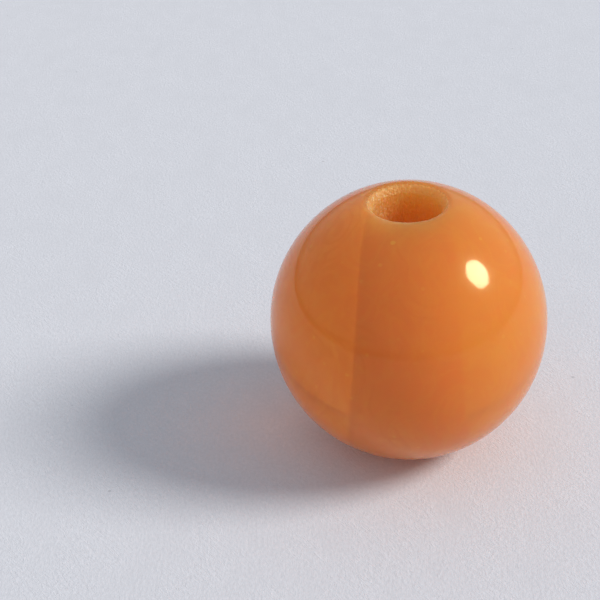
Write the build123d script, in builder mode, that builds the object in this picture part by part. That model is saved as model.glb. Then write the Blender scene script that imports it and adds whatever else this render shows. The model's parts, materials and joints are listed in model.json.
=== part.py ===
"""A round bead of polished stone, drilled through for a cord.

The bead is one solid. Its outside is turned very slightly longer along the bore than it is round. The bore runs
right through, each of its mouths is ground a little wider with a taper, and each rim is polished to a small round,
so that the bead stands upright on the ring of its lower rim.

Units are millimetres. The origin is the bead's centre, halfway along the bore, and +Z runs along the bore.
"""

from build123d import *
import math
import os

# Overall sizes
bead_diameter = 10.0  # across the bore, at the bead's equator
bead_length = 10.2  # from pole to pole along the bore, before the bore takes the poles away

# The drilled hole
bore_diameter = 2.4  # the straight ground wall
mouth_flare = 0.2  # how much wider than the bore each mouth is ground, on the radius
mouth_angle = 60.0  # included angle of the taper at each mouth, in degrees
rim_radius = 0.25  # polished round between the taper and the outside of the bead

# The circle on which each taper would cut the outside of the bead
bore_radius = bore_diameter / 2
mouth_radius = bore_radius + mouth_flare
mouth_height = bead_length / 2 * math.sqrt(1 - (mouth_radius / (bead_diameter / 2)) ** 2)

with BuildPart() as stone_bead:
    # Half of the bead's outline, closed along the bore's axis
    with BuildSketch(Plane.XZ):
        with BuildLine():
            outside = EllipticalCenterArc(
                center=(0, 0),
                x_radius=bead_diameter / 2,
                y_radius=bead_length / 2,
                start_angle=-90,
                arc_size=180,
            )
            Line(outside @ 1, outside @ 0)
        make_face()
    revolve(axis=Axis.Z)

    # The bore, with a tapered mouth at each end
    upper_mouth = Location((0, 0, mouth_height))
    lower_mouth = Location((0, 0, -mouth_height), (180, 0, 0))
    with Locations(upper_mouth, lower_mouth):
        CounterSinkHole(
            radius=bore_radius,
            counter_sink_radius=mouth_radius,
            counter_sink_angle=mouth_angle,
        )

    # The rims: the outermost circle at each end of the bore
    mouth_edges = stone_bead.edges().filter_by(GeomType.CIRCLE).sort_by(Axis.Z)
    fillet([mouth_edges[0], mouth_edges[-1]], radius=rim_radius)

stone_bead.part.label = "stone_bead"

# The straight wall that a cord or wire runs against, between the two tapers
taper_depth = mouth_flare / math.tan(math.radians(mouth_angle / 2))
bore_wall_length = 2 * (mouth_height - taper_depth)

os.makedirs("parts", exist_ok=True)
export_step(stone_bead.part, "parts/stone_bead.step")

size = stone_bead.part.bounding_box().size
print(f"bead {size.X:.3f} x {size.Y:.3f} x {size.Z:.3f} mm, volume {stone_bead.part.volume:.2f} mm3")
print(f"bore {bore_diameter:.2f} mm, straight wall {bore_wall_length:.3f} mm long")
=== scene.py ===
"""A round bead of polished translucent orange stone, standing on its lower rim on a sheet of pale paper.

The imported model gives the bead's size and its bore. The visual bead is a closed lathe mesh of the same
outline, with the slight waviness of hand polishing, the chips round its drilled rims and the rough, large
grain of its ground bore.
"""

import json
import math

import bpy
import numpy as np
from bpy.props import FloatProperty, FloatVectorProperty, IntProperty, PointerProperty
from mathutils import Matrix, Vector, noise


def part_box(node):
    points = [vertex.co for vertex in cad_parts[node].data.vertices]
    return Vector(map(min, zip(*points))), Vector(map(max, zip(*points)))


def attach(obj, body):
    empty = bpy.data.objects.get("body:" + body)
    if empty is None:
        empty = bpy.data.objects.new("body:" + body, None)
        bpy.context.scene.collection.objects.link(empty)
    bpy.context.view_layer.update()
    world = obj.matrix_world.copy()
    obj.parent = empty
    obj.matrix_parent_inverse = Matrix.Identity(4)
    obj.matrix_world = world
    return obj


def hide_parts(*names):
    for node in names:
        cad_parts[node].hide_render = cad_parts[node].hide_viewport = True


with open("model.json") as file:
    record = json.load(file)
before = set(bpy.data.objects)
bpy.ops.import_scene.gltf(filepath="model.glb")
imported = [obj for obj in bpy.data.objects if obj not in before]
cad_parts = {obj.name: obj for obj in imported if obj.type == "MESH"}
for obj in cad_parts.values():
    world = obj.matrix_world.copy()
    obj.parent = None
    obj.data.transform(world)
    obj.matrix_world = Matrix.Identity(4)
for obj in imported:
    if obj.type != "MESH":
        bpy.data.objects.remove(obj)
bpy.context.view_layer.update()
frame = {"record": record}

bl_info = {
    "name": "Drilled Stone Bead",
    "version": (1, 0, 0),
    "blender": (4, 5, 0),
    "location": "3D View > Sidebar > Bead",
    "description": "Makes a round drilled bead of translucent stone on a paper stage",
    "category": "Object",
}

MM = 0.001
NODE = "stone_bead"
BODY = "root"
BEAD = "drilled_bead"
PAPER = "paper_sheet"
NODE_LOW, NODE_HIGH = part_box(NODE)
HOLE = next(mount for mount in frame["record"]["mounts"] if mount["name"] == "string_hole")


# Settings


def length(name, default, description):
    return FloatProperty(
        name=name, default=default, description=description, unit="LENGTH", precision=6, min=0.0
    )


def angle(name, degrees, description):
    return FloatProperty(
        name=name, default=math.radians(degrees), description=description, subtype="ANGLE"
    )


def share(name, default, description):
    return FloatProperty(
        name=name, default=default, description=description, subtype="FACTOR", min=0.0, max=1.0
    )


def colour(name, default, description):
    return FloatVectorProperty(
        name=name, default=default, description=description, subtype="COLOR", size=3, min=0.0, max=1.0
    )


class BeadShape(bpy.types.PropertyGroup):
    """Sizes of the bead's outline and of the unevenness that its making leaves."""

    radius: length("Radius", NODE_HIGH.x, "Half the bead's diameter across the bore")
    half_length: length("Half length", 5.1 * MM, "Centre to pole along the bore, before drilling")
    bore_radius: length("Bore radius", HOLE["dims"]["r_mm"] * MM, "Radius of the straight bore")
    mouth_flare: length("Mouth flare", 0.2 * MM, "How much wider than the bore each mouth is")
    mouth_angle: angle("Mouth angle", 60, "Included angle of the taper at each mouth")
    rim_radius: length("Rim radius", 0.25 * MM, "Polished round at each rim")
    waviness: length("Waviness", 0.006 * MM, "How far polishing by hand leaves the outside uneven")
    grain_depth: length("Grain depth", 0.018 * MM, "Height of the ground bore's grain")
    grain_size: length("Grain size", 0.11 * MM, "Width of one grain of the ground bore")
    groove_depth: length("Groove depth", 0.003 * MM, "Height of the rings that the drill leaves")
    groove_pitch: length("Groove pitch", 0.27 * MM, "Spacing of the rings that the drill leaves")
    chip_count: IntProperty(
        name="Chips", default=11, description="Chips round each drilled rim", min=0, max=60
    )
    chip_size: length("Chip size", 0.1 * MM, "Typical radius of a chip at a rim")


class StoneFinish(bpy.types.PropertyGroup):
    """Colours and optical properties of the stone."""

    body: colour("Body", (0.87, 0.215, 0.045), "Colour deep in the stone")
    # Also painted over the +X side, towards the main light, as painted light
    warm: colour("Warm band", (0.9, 0.3, 0.048), "Colour of the paler, yellower bands")
    ground: colour("Ground wall", (0.88, 0.45, 0.12), "Colour of the unpolished bore")
    sugar: colour("Sugary wall", (0.84, 0.32, 0.09), "Colour of the ground wall in direct light")
    # Painted mostly on the bore's -X wall, as a painted sunlit patch
    grain: colour("Grain tips", (1.0, 0.76, 0.5), "Colour of the ground grains' tips")
    # Used only on the -X side, away from the main light, so it also paints shade there
    seam: colour("Swirl", (0.72, 0.15, 0.02), "Colour of the faint darker swirls")
    fleck: colour("Fleck", (0.93, 0.52, 0.08), "Colour of the small yellow flecks")
    inside: colour("Inside", (0.72, 0.2, 0.03), "Colour of the haze seen within the stone")
    depth_tint: colour("Depth tint", (0.987, 0.76, 0.03), "Colour that the clear stone leaves in light")
    tint_density: FloatProperty(
        name="Tint density", default=300.0, description="Strength of the depth tint per metre", min=0.0
    )
    bloom_colour: colour("Bloom", (0.84, 0.42, 0.1), "Colour of the light that turns back near the surface")
    bloom: share("Bloom share", 0.14, "Share of light that turns back near the polished surface")
    ground_bloom: share("Ground bloom share", 0.34, "Share of light that turns back near the ground wall")
    gloss_tint: colour("Gloss tint", (1.0, 0.84, 0.45), "Colour of the polished surface's reflections")
    gloss: share("Gloss", 0.14, "Strength of the polished surface's reflections")
    scatter: length("Scatter length", 6.2 * MM, "How far light travels in the stone before it turns")
    turn_depth: length("Turn-back depth", 0.6 * MM, "How deep light goes that turns back near the surface")
    clearness: share("Clearness", 0.45, "Share of light that passes straight through the stone")
    polish: share("Polish roughness", 0.06, "Roughness of the polished outside")
    polish_haze: share("Polish haze", 0.22, "Roughness of the haze that polishing leaves")
    grind: share("Ground roughness", 0.42, "Roughness of the ground bore")
    band_size: length("Band size", 3.2 * MM, "Width of the paler bands")
    wisp_size: length("Wisp size", 1.5 * MM, "Width of the fine wisps")
    swirl_size: length("Swirl size", 2.4 * MM, "Width of the faint darker swirls")
    fleck_spacing: length("Fleck spacing", 0.8 * MM, "Distance between the yellow flecks")
    index: FloatProperty(
        name="Refractive index", default=1.54, description="Index of the stone", min=1.0, max=3.0
    )


class PaperStage(bpy.types.PropertyGroup):
    """The paper, the soft light and the camera."""

    paper: colour("Paper", (0.71, 0.715, 0.74), "Colour of the paper")
    felt_size: length("Felt size", 0.11 * MM, "Width of the paper's fine grain")
    mottle_size: length("Mottle size", 1.3 * MM, "Width of the paper's paler patches")
    fibre_size: length("Fibre size", 0.16 * MM, "Width of the paper's fibres")
    dust_spacing: length("Dust spacing", 3.1 * MM, "Distance between specks of dust")
    paper_reach: length("Paper reach", 0.6, "Half the width of the sheet of paper")
    key_turn: angle("Key turn", -7.6, "Direction of the main light round the bead, from +X towards +Y")
    key_height: angle("Key height", 37, "Height of the main light above the paper")
    key_width: angle("Key width", 20, "Apparent width of the main light")
    key_power: FloatProperty(
        name="Key power", default=2.6, description="Strength of the main light", min=0.0
    )
    key_tint: colour("Key tint", (1.0, 0.975, 0.965), "Colour of the main light")
    sky: colour("Sky", (0.39, 0.43, 0.5), "Colour of the soft light from overhead")
    haze: colour("Haze", (0.62, 0.61, 0.58), "Colour of the soft light from lower down")
    far_edge: colour("Far edge", (0.2, 0.19, 0.185), "Colour of what lies beyond the paper")
    sky_power: FloatProperty(
        name="Sky power", default=1.0, description="Strength of the soft light from all round", min=0.0
    )
    camera_height: angle("Camera height", 32.55, "Angle of the camera above the horizon")
    camera_roll: angle("Camera roll", -3.2, "Turn of the camera about its own axis")
    camera_distance: length("Camera distance", 47.5 * MM, "Camera to the bead's centre")
    focal_length: FloatProperty(
        name="Focal length", default=78.1, description="Lens, for a sensor 36 mm wide", unit="CAMERA"
    )
    bead_right: share("Bead to the right", 0.0828, "The bead's place from the view's centre, as a tangent")
    bead_down: share("Bead down", 0.015, "The bead's place below the view's centre, as a tangent")


# Shader maths: an expression on values adds its Math nodes


class Value:
    """One output socket. Plain operators on it add Math nodes to its tree."""

    def __init__(self, tree, socket):
        self.tree = tree
        self.socket = socket

    def math(self, operation, *others, clamp=False):
        settings = {"operation": operation, "use_clamp": clamp}
        return self.tree.add("ShaderNodeMath", settings, dict(enumerate([self, *others])))

    def __add__(self, other):
        return self.math("ADD", other)

    def __sub__(self, other):
        return self.math("SUBTRACT", other)

    def __rsub__(self, other):
        return self.tree.add("ShaderNodeMath", {"operation": "SUBTRACT"}, {0: other, 1: self})

    def __mul__(self, other):
        return self.math("MULTIPLY", other)

    __radd__ = __add__
    __rmul__ = __mul__

    def __pow__(self, other):
        return self.math("POWER", other)

    def absolute(self):
        return self.math("ABSOLUTE")

    def between(self, low, high):
        """0 where this is at low, 1 at high, with a soft start and end."""
        settings = {"interpolation_type": "SMOOTHSTEP"}
        return self.tree.add("ShaderNodeMapRange", settings, {0: self, 1: low, 2: high, 3: 0.0, 4: 1.0})


class Finish:
    """The node tree of a material, a lamp or the sky."""

    def __init__(self, owner, end="ShaderNodeOutputMaterial"):
        self.owner = owner
        owner.use_nodes = True
        self.nodes = owner.node_tree.nodes
        self.links = owner.node_tree.links
        self.nodes.clear()
        self.end = self.nodes.new(end)

    def add(self, kind, settings=None, sockets=None, output=0):
        """Adds a node, its settings before its sockets' values or links. Gives one of its outputs."""
        node = self.nodes.new(kind)
        for name, setting in (settings or {}).items():
            setattr(node, name, setting)
        for name, value in (sockets or {}).items():
            self.feed(node.inputs[name], value)
        return Value(self, node.outputs[output])

    def feed(self, socket, value):
        if isinstance(value, Value):
            self.links.new(value.socket, socket)
        elif socket.type == "RGBA" and len(value) == 3:
            socket.default_value = (*value, 1.0)
        else:
            socket.default_value = value

    def blend(self, factor, first, second):
        """Mixes two colours by a factor."""
        mixed = self.add("ShaderNodeMix", {"data_type": "RGBA"}, output=2)
        node = mixed.socket.node
        self.feed(node.inputs[0], factor)
        self.feed(node.inputs[6], first)
        self.feed(node.inputs[7], second)
        return mixed

    def mix(self, factor, first, second):
        """Mixes two shaders by a factor."""
        return self.add("ShaderNodeMixShader", sockets={0: factor, 1: first, 2: second})

    def place(self):
        """The point on the piece, in metres."""
        return self.add("ShaderNodeTexCoord", output="Object")

    def cloud(self, place, size, detail=3.0, rough=0.5, warp=0.0):
        """Soft noise from 0 to 1 whose patches are about size wide."""
        sockets = {
            "Vector": place,
            "Scale": 1 / size,
            "Detail": detail,
            "Roughness": rough,
            "Distortion": warp,
        }
        return self.add("ShaderNodeTexNoise", {"normalize": True}, sockets)

    def cells(self, place, size):
        """Distance to the nearest of scattered points about size apart."""
        sockets = {"Vector": place, "Scale": 1 / size, "Randomness": 1.0}
        return self.add("ShaderNodeTexVoronoi", {"feature": "F1"}, sockets)

    def shifted(self, place, offset, stretch):
        """The place, stretched along each axis and then moved."""
        settings = {"operation": "MULTIPLY_ADD"}
        return self.add("ShaderNodeVectorMath", settings, {0: place, 1: stretch, 2: offset})


# Stone


def stone_finish(stone, shape):
    """Translucent orange stone: polished outside, ground within the bore."""
    stuff = Finish(bpy.data.materials.new("orange_chalcedony"))
    place = stuff.place()
    axes = stuff.add("ShaderNodeSeparateXYZ", sockets={0: place})
    across = Value(stuff, axes.socket.node.outputs["X"])
    along = Value(stuff, axes.socket.node.outputs["Y"])
    from_axis = (across * across + along * along).math("SQRT")

    # Ground wall: everything nearer to the axis than the polished rim, with a ragged edge
    ragged = stuff.cloud(place, 0.12 * MM)
    mouth = shape.bore_radius + shape.mouth_flare
    edge = from_axis + (ragged - 0.5) * (0.12 * MM)
    ground = 1 - edge.between(mouth - 0.06 * MM, mouth + 0.05 * MM)

    # Faint bands and wisps within the stone, with painted light: the +X side, towards the main light, is
    # painted yellower
    drift = stuff.cloud(place, stone.band_size, detail=2.0, warp=0.6)
    tall = stuff.shifted(place, (0.004, 0.001, 0.002), (1, 1, 0.55))
    wisps = stuff.cloud(tall, stone.wisp_size, 4.0, 0.55, 1.3)
    veil = (1 - (wisps - 0.5).absolute() * 9).math("MAXIMUM", 0.0) ** 2
    # Painted light: the stone is made yellower towards +X, the side the main light falls on
    painted_lit_side = across.between(-1.5 * MM, 3 * MM)
    bands_and_painted_light = drift.between(0.35, 0.75) * 0.4 + veil * 0.25 + painted_lit_side * 0.3
    body = stuff.blend(bands_and_painted_light, stone.body, stone.warm)
    moved = stuff.shifted(place, (0.001, 0.003, 0.0), (1, 1, 0.8))
    folds = stuff.cloud(moved, stone.swirl_size, 2.0, 0.4, 2.2)
    swirls = (folds * 28).math("SINE") * 0.5 + 0.5
    # Partly the stone's own darker swirls, partly painted shade: they are painted only on the -X side, away
    # from the main light
    painted_shade_side = 1 - across.between(-1.5 * MM, 1.5 * MM)
    body = stuff.blend(0.32 * swirls ** 2 * painted_shade_side * drift.between(0.3, 0.6), body, stone.seam)
    ragged_fleck = 0.12 * (stuff.cloud(place, 0.16 * MM, 3.0) - 0.5)
    near_hole = 1 - from_axis.between(1.6 * MM, 3.4 * MM)
    from_fleck = stuff.cells(place, stone.fleck_spacing) + ragged_fleck
    flecks = 1 - from_fleck.between(0.04, 0.12 + 0.04 * near_hole)
    body = stuff.blend(flecks * (0.2 + 0.6 * near_hole), body, stone.fleck)

    # Grains of the ground wall. Their pale tips are painted mostly on its -X side, where the main light
    # falls into the bore: a painted sunlit patch
    grains = stuff.cells(place, shape.grain_size)
    # Painted light: pale grain tips mostly on the -X wall, standing in for the main light falling on it
    painted_lit_wall = 1 - 0.8 * across.between(-1.0 * MM, -0.3 * MM)
    tips = (1 - grains.between(0.2, 0.46)) * painted_lit_wall
    wall = stuff.blend(0.25 * tips, stone.ground, stone.grain)
    base = stuff.blend(ground * 0.7, body, wall)
    near = stuff.blend(ground, stone.bloom_colour, stuff.blend(tips * 0.9, stone.sugar, stone.grain))

    # Gloss: fine polishing haze outside, matte within
    haze = stuff.cloud(place, 0.6 * MM, 4.0, 0.6)
    polished = stone.polish * (0.7 + 0.6 * haze)
    glossy = polished + ground * (stone.grind - polished)
    hazed = stone.polish_haze + ground * (stone.grind - stone.polish_haze)

    # Relief too fine for the mesh: polishing pits outside, crystal facets on the ground wall
    pitted = stuff.cloud(place, 0.9 * MM).between(0.45, 0.7)
    pits = stuff.cells(place, 0.16 * MM).between(0.0, 0.3) * pitted
    lay = stuff.cloud(place, 0.05 * MM, 2.0)
    relief = (1 - ground) * (pits * 0.0007 * MM) + ground * (lay * 0.02 * MM + grains * 0.03 * MM)
    normal = stuff.add("ShaderNodeBump", sockets={"Strength": 0.8, "Distance": 1.0, "Height": relief})

    def scattering(colour, depth, spread, clearness, roughness, gloss):
        sockets = {
            "Base Color": colour,
            "Roughness": roughness,
            "Normal": normal,
            "IOR": stone.index,
            "Specular IOR Level": gloss,
            "Specular Tint": (*stone.gloss_tint, 1.0),
            "Transmission Weight": clearness,
            "Subsurface Weight": 1.0,
            "Subsurface Radius": spread,
            "Subsurface Scale": depth,
        }
        return stuff.add("ShaderNodeBsdfPrincipled", {"subsurface_method": "RANDOM_WALK"}, sockets)

    # Light that wanders deep through the stone, and light that turns back near its surface
    deep = scattering(base, stone.scatter, (1.0, 0.78, 0.5), stone.clearness, glossy, stone.gloss)
    shallow = scattering(near, stone.turn_depth, (1.0, 0.5, 0.25), 0.0, hazed, 1.0)
    outside = stuff.mix(stone.bloom + ground * (stone.ground_bloom - stone.bloom), deep, shallow)

    # What a ray inside the stone meets: part leaves or turns back, part meets the haze
    clear = stuff.add(
        "ShaderNodeBsdfGlass",
        {"distribution": "GGX"},
        {"Color": (1.0, 1.0, 1.0), "Roughness": stone.polish, "IOR": stone.index},
    )
    lit_through = stuff.add("ShaderNodeBsdfTranslucent", sockets={"Color": stone.warm})
    lit_within = stuff.add("ShaderNodeBsdfDiffuse", sockets={"Color": stone.inside})
    hazy = stuff.mix(0.6 + 0.3 * ground, lit_through, lit_within)
    inside = stuff.mix(0.5 + 0.4 * ground, clear, hazy)

    facing = stuff.add("ShaderNodeNewGeometry", output="Backfacing")
    stuff.feed(stuff.end.inputs["Surface"], stuff.mix(facing, outside, inside))
    tint = stuff.add(
        "ShaderNodeVolumeAbsorption",
        sockets={"Color": stone.depth_tint, "Density": stone.tint_density},
    )
    stuff.feed(stuff.end.inputs["Volume"], tint)
    return stuff.owner


def outline(shape):
    """Rings of the bead as rows of radius and height: up the outside, over the rim and down the bore."""
    outside_rings, rim_rings, taper_rings, bore_rings = 44, 12, 8, 64
    wide, tall = shape.radius, shape.half_length
    lean = shape.mouth_angle / 2
    mouth = shape.bore_radius + shape.mouth_flare
    corner = np.array([mouth, tall * math.sqrt(1 - (mouth / wide) ** 2)])
    off_taper = np.array([-math.cos(lean), math.sin(lean)])

    def surface(turn):
        return np.array([wide * math.cos(turn), tall * math.sin(turn)])

    def outward(turn):
        way = np.array([tall * math.cos(turn), wide * math.sin(turn)])
        return way / np.linalg.norm(way)

    # The rim's round touches both the outside and the taper: halve in on where it leaves the outside
    low, high = 0.0, math.asin(corner[1] / tall)
    for _ in range(50):
        turn = (low + high) / 2
        gap = (surface(turn) - shape.rim_radius * outward(turn) - corner) @ off_taper + shape.rim_radius
        low, high = (low, turn) if gap > 0 else (turn, high)
    centre = surface(turn) - shape.rim_radius * outward(turn)
    first = math.atan2(*outward(turn)[::-1])
    last = math.atan2(*off_taper[::-1])

    taper_top = centre + shape.rim_radius * off_taper
    taper_end = np.array([shape.bore_radius, corner[1] - shape.mouth_flare / math.tan(lean)])
    rows = [surface(t) for t in np.linspace(0, turn, outside_rings, endpoint=False)]
    rows += [
        centre + shape.rim_radius * np.array([math.cos(a), math.sin(a)])
        for a in np.linspace(first, last, rim_rings, endpoint=False)
    ]
    down_taper = np.linspace(0, 1, taper_rings, endpoint=False)
    down_bore = np.linspace(0, 1, bore_rings, endpoint=False) ** 1.5
    rows += [taper_top + (taper_end - taper_top) * t for t in down_taper]
    rows += [taper_end * (1, 1 - t) for t in down_bore]
    upper = np.array(rows)
    middle = np.array([[shape.bore_radius, 0.0]])
    return np.vstack([upper, middle, upper[:0:-1] * (1, -1)])


def fine_noise(points, size, octaves=1):
    """Noise from about -1 to 1 at each point."""
    scaled = points / size
    if octaves == 1:
        return np.array([noise.noise(Vector(p)) for p in scaled])
    return np.array([noise.fractal(Vector(p), 1.0, 2.0, octaves) for p in scaled])


def chips(points, shape, rim_height, seed):
    """How deep the chips at one drilled rim are at each point."""
    random = np.random.default_rng(seed)
    depth = np.zeros(len(points))
    rim = shape.bore_radius + shape.mouth_flare * 0.9
    for _ in range(shape.chip_count):
        turn = random.uniform(0, 2 * math.pi)
        size = shape.chip_size * random.uniform(0.5, 1.6)
        reach = rim + random.uniform(-0.3, 0.4) * shape.chip_size
        centre = np.array([reach * math.cos(turn), reach * math.sin(turn), rim_height])
        near = 1 - np.linalg.norm(points - centre, axis=1) / size
        depth = np.maximum(depth, size * 0.35 * np.clip(near, 0, 1) ** 1.5)
    return depth


def bead_mesh(shape, segments=384):
    """The bead as one closed mesh, each point moved by the unevenness of its making."""
    rings = outline(shape)
    count = len(rings)
    turns = np.arange(segments) * 2 * math.pi / segments
    radii, heights = rings[:, :1], rings[:, 1:]
    points = np.stack(
        [radii * np.cos(turns), radii * np.sin(turns), heights + 0 * turns], axis=-1
    ).reshape(-1, 3)

    # Outward direction of each ring, from its neighbours
    ahead = np.roll(rings, -1, axis=0) - np.roll(rings, 1, axis=0)
    ahead /= np.linalg.norm(ahead, axis=1, keepdims=True)
    outwards = np.stack([ahead[:, 1], -ahead[:, 0]], axis=1)
    normals = np.stack(
        [
            outwards[:, :1] * np.cos(turns),
            outwards[:, :1] * np.sin(turns),
            outwards[:, 1:] + 0 * turns,
        ],
        axis=-1,
    ).reshape(-1, 3)

    from_axis = np.hypot(points[:, 0], points[:, 1])
    mouth = shape.bore_radius + shape.mouth_flare
    ground = np.clip((mouth + 0.05 * MM - from_axis) / (0.12 * MM), 0, 1)
    rise = shape.waviness * fine_noise(points, 2.6 * MM)
    grain = fine_noise(points, shape.grain_size, octaves=3)
    groove = np.sin(points[:, 2] * 2 * math.pi / shape.groove_pitch + 1.5 * fine_noise(points, 0.9 * MM))
    rise += ground * (shape.grain_depth * grain + shape.groove_depth * groove)
    rim_height = shape.half_length * math.sqrt(1 - (mouth / shape.radius) ** 2)
    rise -= chips(points, shape, rim_height, seed=5)
    rise -= chips(points, shape, -rim_height, seed=8)
    points += normals * rise[:, None]

    ring, step = np.meshgrid(np.arange(count), np.arange(segments), indexing="ij")
    next_ring, next_step = (ring + 1) % count, (step + 1) % segments
    corners = [
        ring * segments + step,
        ring * segments + next_step,
        next_ring * segments + next_step,
        next_ring * segments + step,
    ]
    faces = np.stack(corners, axis=-1).reshape(-1, 4)
    mesh = bpy.data.meshes.new("bead")
    mesh.from_pydata(points.tolist(), [], faces.tolist())
    mesh.shade_smooth()
    return mesh


def in_scene(name, data):
    thing = bpy.data.objects.new(name, data)
    bpy.context.scene.collection.objects.link(thing)
    return thing


class BEAD_OT_stone(bpy.types.Operator):
    """Make the drilled bead of polished stone"""

    bl_idname = "bead.stone"
    bl_label = "Stone bead"

    def execute(self, context):
        shape = context.scene.bead_shape
        bead = in_scene(BEAD, bead_mesh(shape))
        bead.data.materials.append(stone_finish(context.scene.bead_finish, shape))
        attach(bead, BODY)
        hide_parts(NODE)
        return {"FINISHED"}


# Stage


def paper_finish(stage):
    """Pale uncoated paper with a fine felt grain."""
    stuff = Finish(bpy.data.materials.new("uncoated_paper"))
    place = stuff.place()
    laid = stuff.shifted(place, (0, 0, 0), (1.0, 0.62, 1.0))
    felt = stuff.cloud(laid, stage.felt_size, 3.0, 0.65)
    mottle = stuff.cloud(laid, stage.mottle_size, 4.0, 0.6)
    sockets = {"Vector": place, "Angle": 0.9}
    turned = stuff.add("ShaderNodeVectorRotate", {"rotation_type": "Z_AXIS"}, sockets)
    drawn_out = stuff.shifted(turned, (0, 0, 0), (0.22, 1.0, 1.0))
    fibres = stuff.cloud(drawn_out, stage.fibre_size, 3.0, 0.6, 1.2)
    strands = (1 - (fibres - 0.5).absolute() * 12).math("MAXIMUM", 0.0) * mottle.between(0.4, 0.6)
    dust = 1 - stuff.cells(place, stage.dust_spacing).between(0.012, 0.03)
    shade = 0.83 + 0.22 * felt + 0.1 * mottle + 0.03 * strands - 0.25 * dust
    tint = stuff.add("ShaderNodeVectorMath", {"operation": "SCALE"}, {0: stage.paper, "Scale": shade})
    height = felt + strands * 0.3 + mottle * 0.5
    sockets = {"Strength": 0.6, "Distance": 0.03 * MM, "Height": height}
    normal = stuff.add("ShaderNodeBump", sockets=sockets)
    sheet = stuff.add(
        "ShaderNodeBsdfPrincipled",
        sockets={"Base Color": tint, "Roughness": 0.9, "Specular IOR Level": 0.15, "Normal": normal},
    )
    stuff.feed(stuff.end.inputs["Surface"], sheet)
    return stuff.owner


def paper(stage):
    """The sheet of paper that the bead stands on."""
    reach, level = stage.paper_reach, NODE_LOW.z
    mesh = bpy.data.meshes.new("paper")
    sides = ((-1, -1), (1, -1), (1, 1), (-1, 1))
    corners = [(reach * x, reach * y, level) for x, y in sides]
    mesh.from_pydata(corners, [], [(0, 1, 2, 3)])
    sheet = in_scene(PAPER, mesh)
    mesh.materials.append(paper_finish(stage))


def soft_key(stage):
    """The main studio light: broad and soft, low on the right."""
    data = bpy.data.lights.new("soft_key", "SUN")
    data.energy = stage.key_power
    data.angle = stage.key_width
    data.color = stage.key_tint
    key = in_scene("soft_key", data)
    level = math.cos(stage.key_height)
    way = Vector(
        (math.cos(stage.key_turn) * level, math.sin(stage.key_turn) * level, math.sin(stage.key_height))
    )
    key.location = way * 0.2
    key.rotation_euler = way.to_track_quat("Z", "Y").to_euler()


def sky(stage):
    """The soft light from all round, darker low down beyond the paper."""
    world = bpy.data.worlds.new("sky")
    bpy.context.scene.world = world
    stuff = Finish(world, "ShaderNodeOutputWorld")
    way = stuff.add("ShaderNodeTexCoord", output="Generated")
    height = stuff.add("ShaderNodeSeparateXYZ", sockets={0: way}, output="Z")
    air = stuff.blend(height.between(0.0, 0.7), stage.haze, stage.sky)
    air = stuff.blend(height.between(0.0, 0.16), stage.far_edge, air)
    light = stuff.add("ShaderNodeBackground", sockets={"Color": air, "Strength": stage.sky_power})
    stuff.feed(stuff.end.inputs["Surface"], light)


def camera(stage):
    """The camera, looking down on the bead from the front, with the bead right of the view's centre."""
    lens = bpy.data.cameras.new("camera")
    lens.lens = stage.focal_length
    lens.clip_start = 1 * MM
    lens.clip_end = 5.0
    view = in_scene("camera", lens)
    ahead = Vector((0, math.cos(stage.camera_height), -math.sin(stage.camera_height)))
    level = Vector((1, 0, 0))
    upright = level.cross(ahead)
    turn, lift = math.cos(stage.camera_roll), math.sin(stage.camera_roll)
    right = level * turn + upright * lift
    up = upright * turn - level * lift
    to_bead = (ahead + right * stage.bead_right - up * stage.bead_down).normalized()
    pose = Matrix((right, up, -ahead)).transposed().to_4x4()
    pose.translation = -to_bead * stage.camera_distance
    view.matrix_world = pose
    bpy.context.scene.camera = view


class BEAD_OT_stage(bpy.types.Operator):
    """Make the paper, the soft studio light and the camera"""

    bl_idname = "bead.stage"
    bl_label = "Paper stage"

    def execute(self, context):
        stage = context.scene.bead_stage
        paper(stage)
        soft_key(stage)
        sky(stage)
        camera(stage)
        context.scene.view_settings.view_transform = "Standard"
        return {"FINISHED"}


class BEAD_PT_panel(bpy.types.Panel):
    """The bead's settings and the buttons that make it"""

    bl_idname = "BEAD_PT_panel"
    bl_label = "Drilled stone bead"
    bl_space_type = "VIEW_3D"
    bl_region_type = "UI"
    bl_category = "Bead"

    def draw(self, context):
        scene = context.scene
        for settings in (scene.bead_shape, scene.bead_finish, scene.bead_stage):
            box = self.layout.box()
            for name in settings.bl_rna.properties.keys():
                if name not in ("rna_type", "name"):
                    box.prop(settings, name)
        for operator in OPERATORS:
            self.layout.operator(operator.bl_idname)


OPERATORS = (BEAD_OT_stone, BEAD_OT_stage)
SETTINGS = {"bead_shape": BeadShape, "bead_finish": StoneFinish, "bead_stage": PaperStage}


def register():
    for name, group in SETTINGS.items():
        bpy.utils.register_class(group)
        setattr(bpy.types.Scene, name, PointerProperty(type=group))
    for operator in OPERATORS:
        bpy.utils.register_class(operator)
    bpy.utils.register_class(BEAD_PT_panel)


def unregister():
    bpy.utils.unregister_class(BEAD_PT_panel)
    for operator in reversed(OPERATORS):
        bpy.utils.unregister_class(operator)
    for name, group in SETTINGS.items():
        delattr(bpy.types.Scene, name)
        bpy.utils.unregister_class(group)


def main():
    register()
    bpy.ops.bead.stone()
    bpy.ops.bead.stage()


if __name__ == "__main__":
    main()
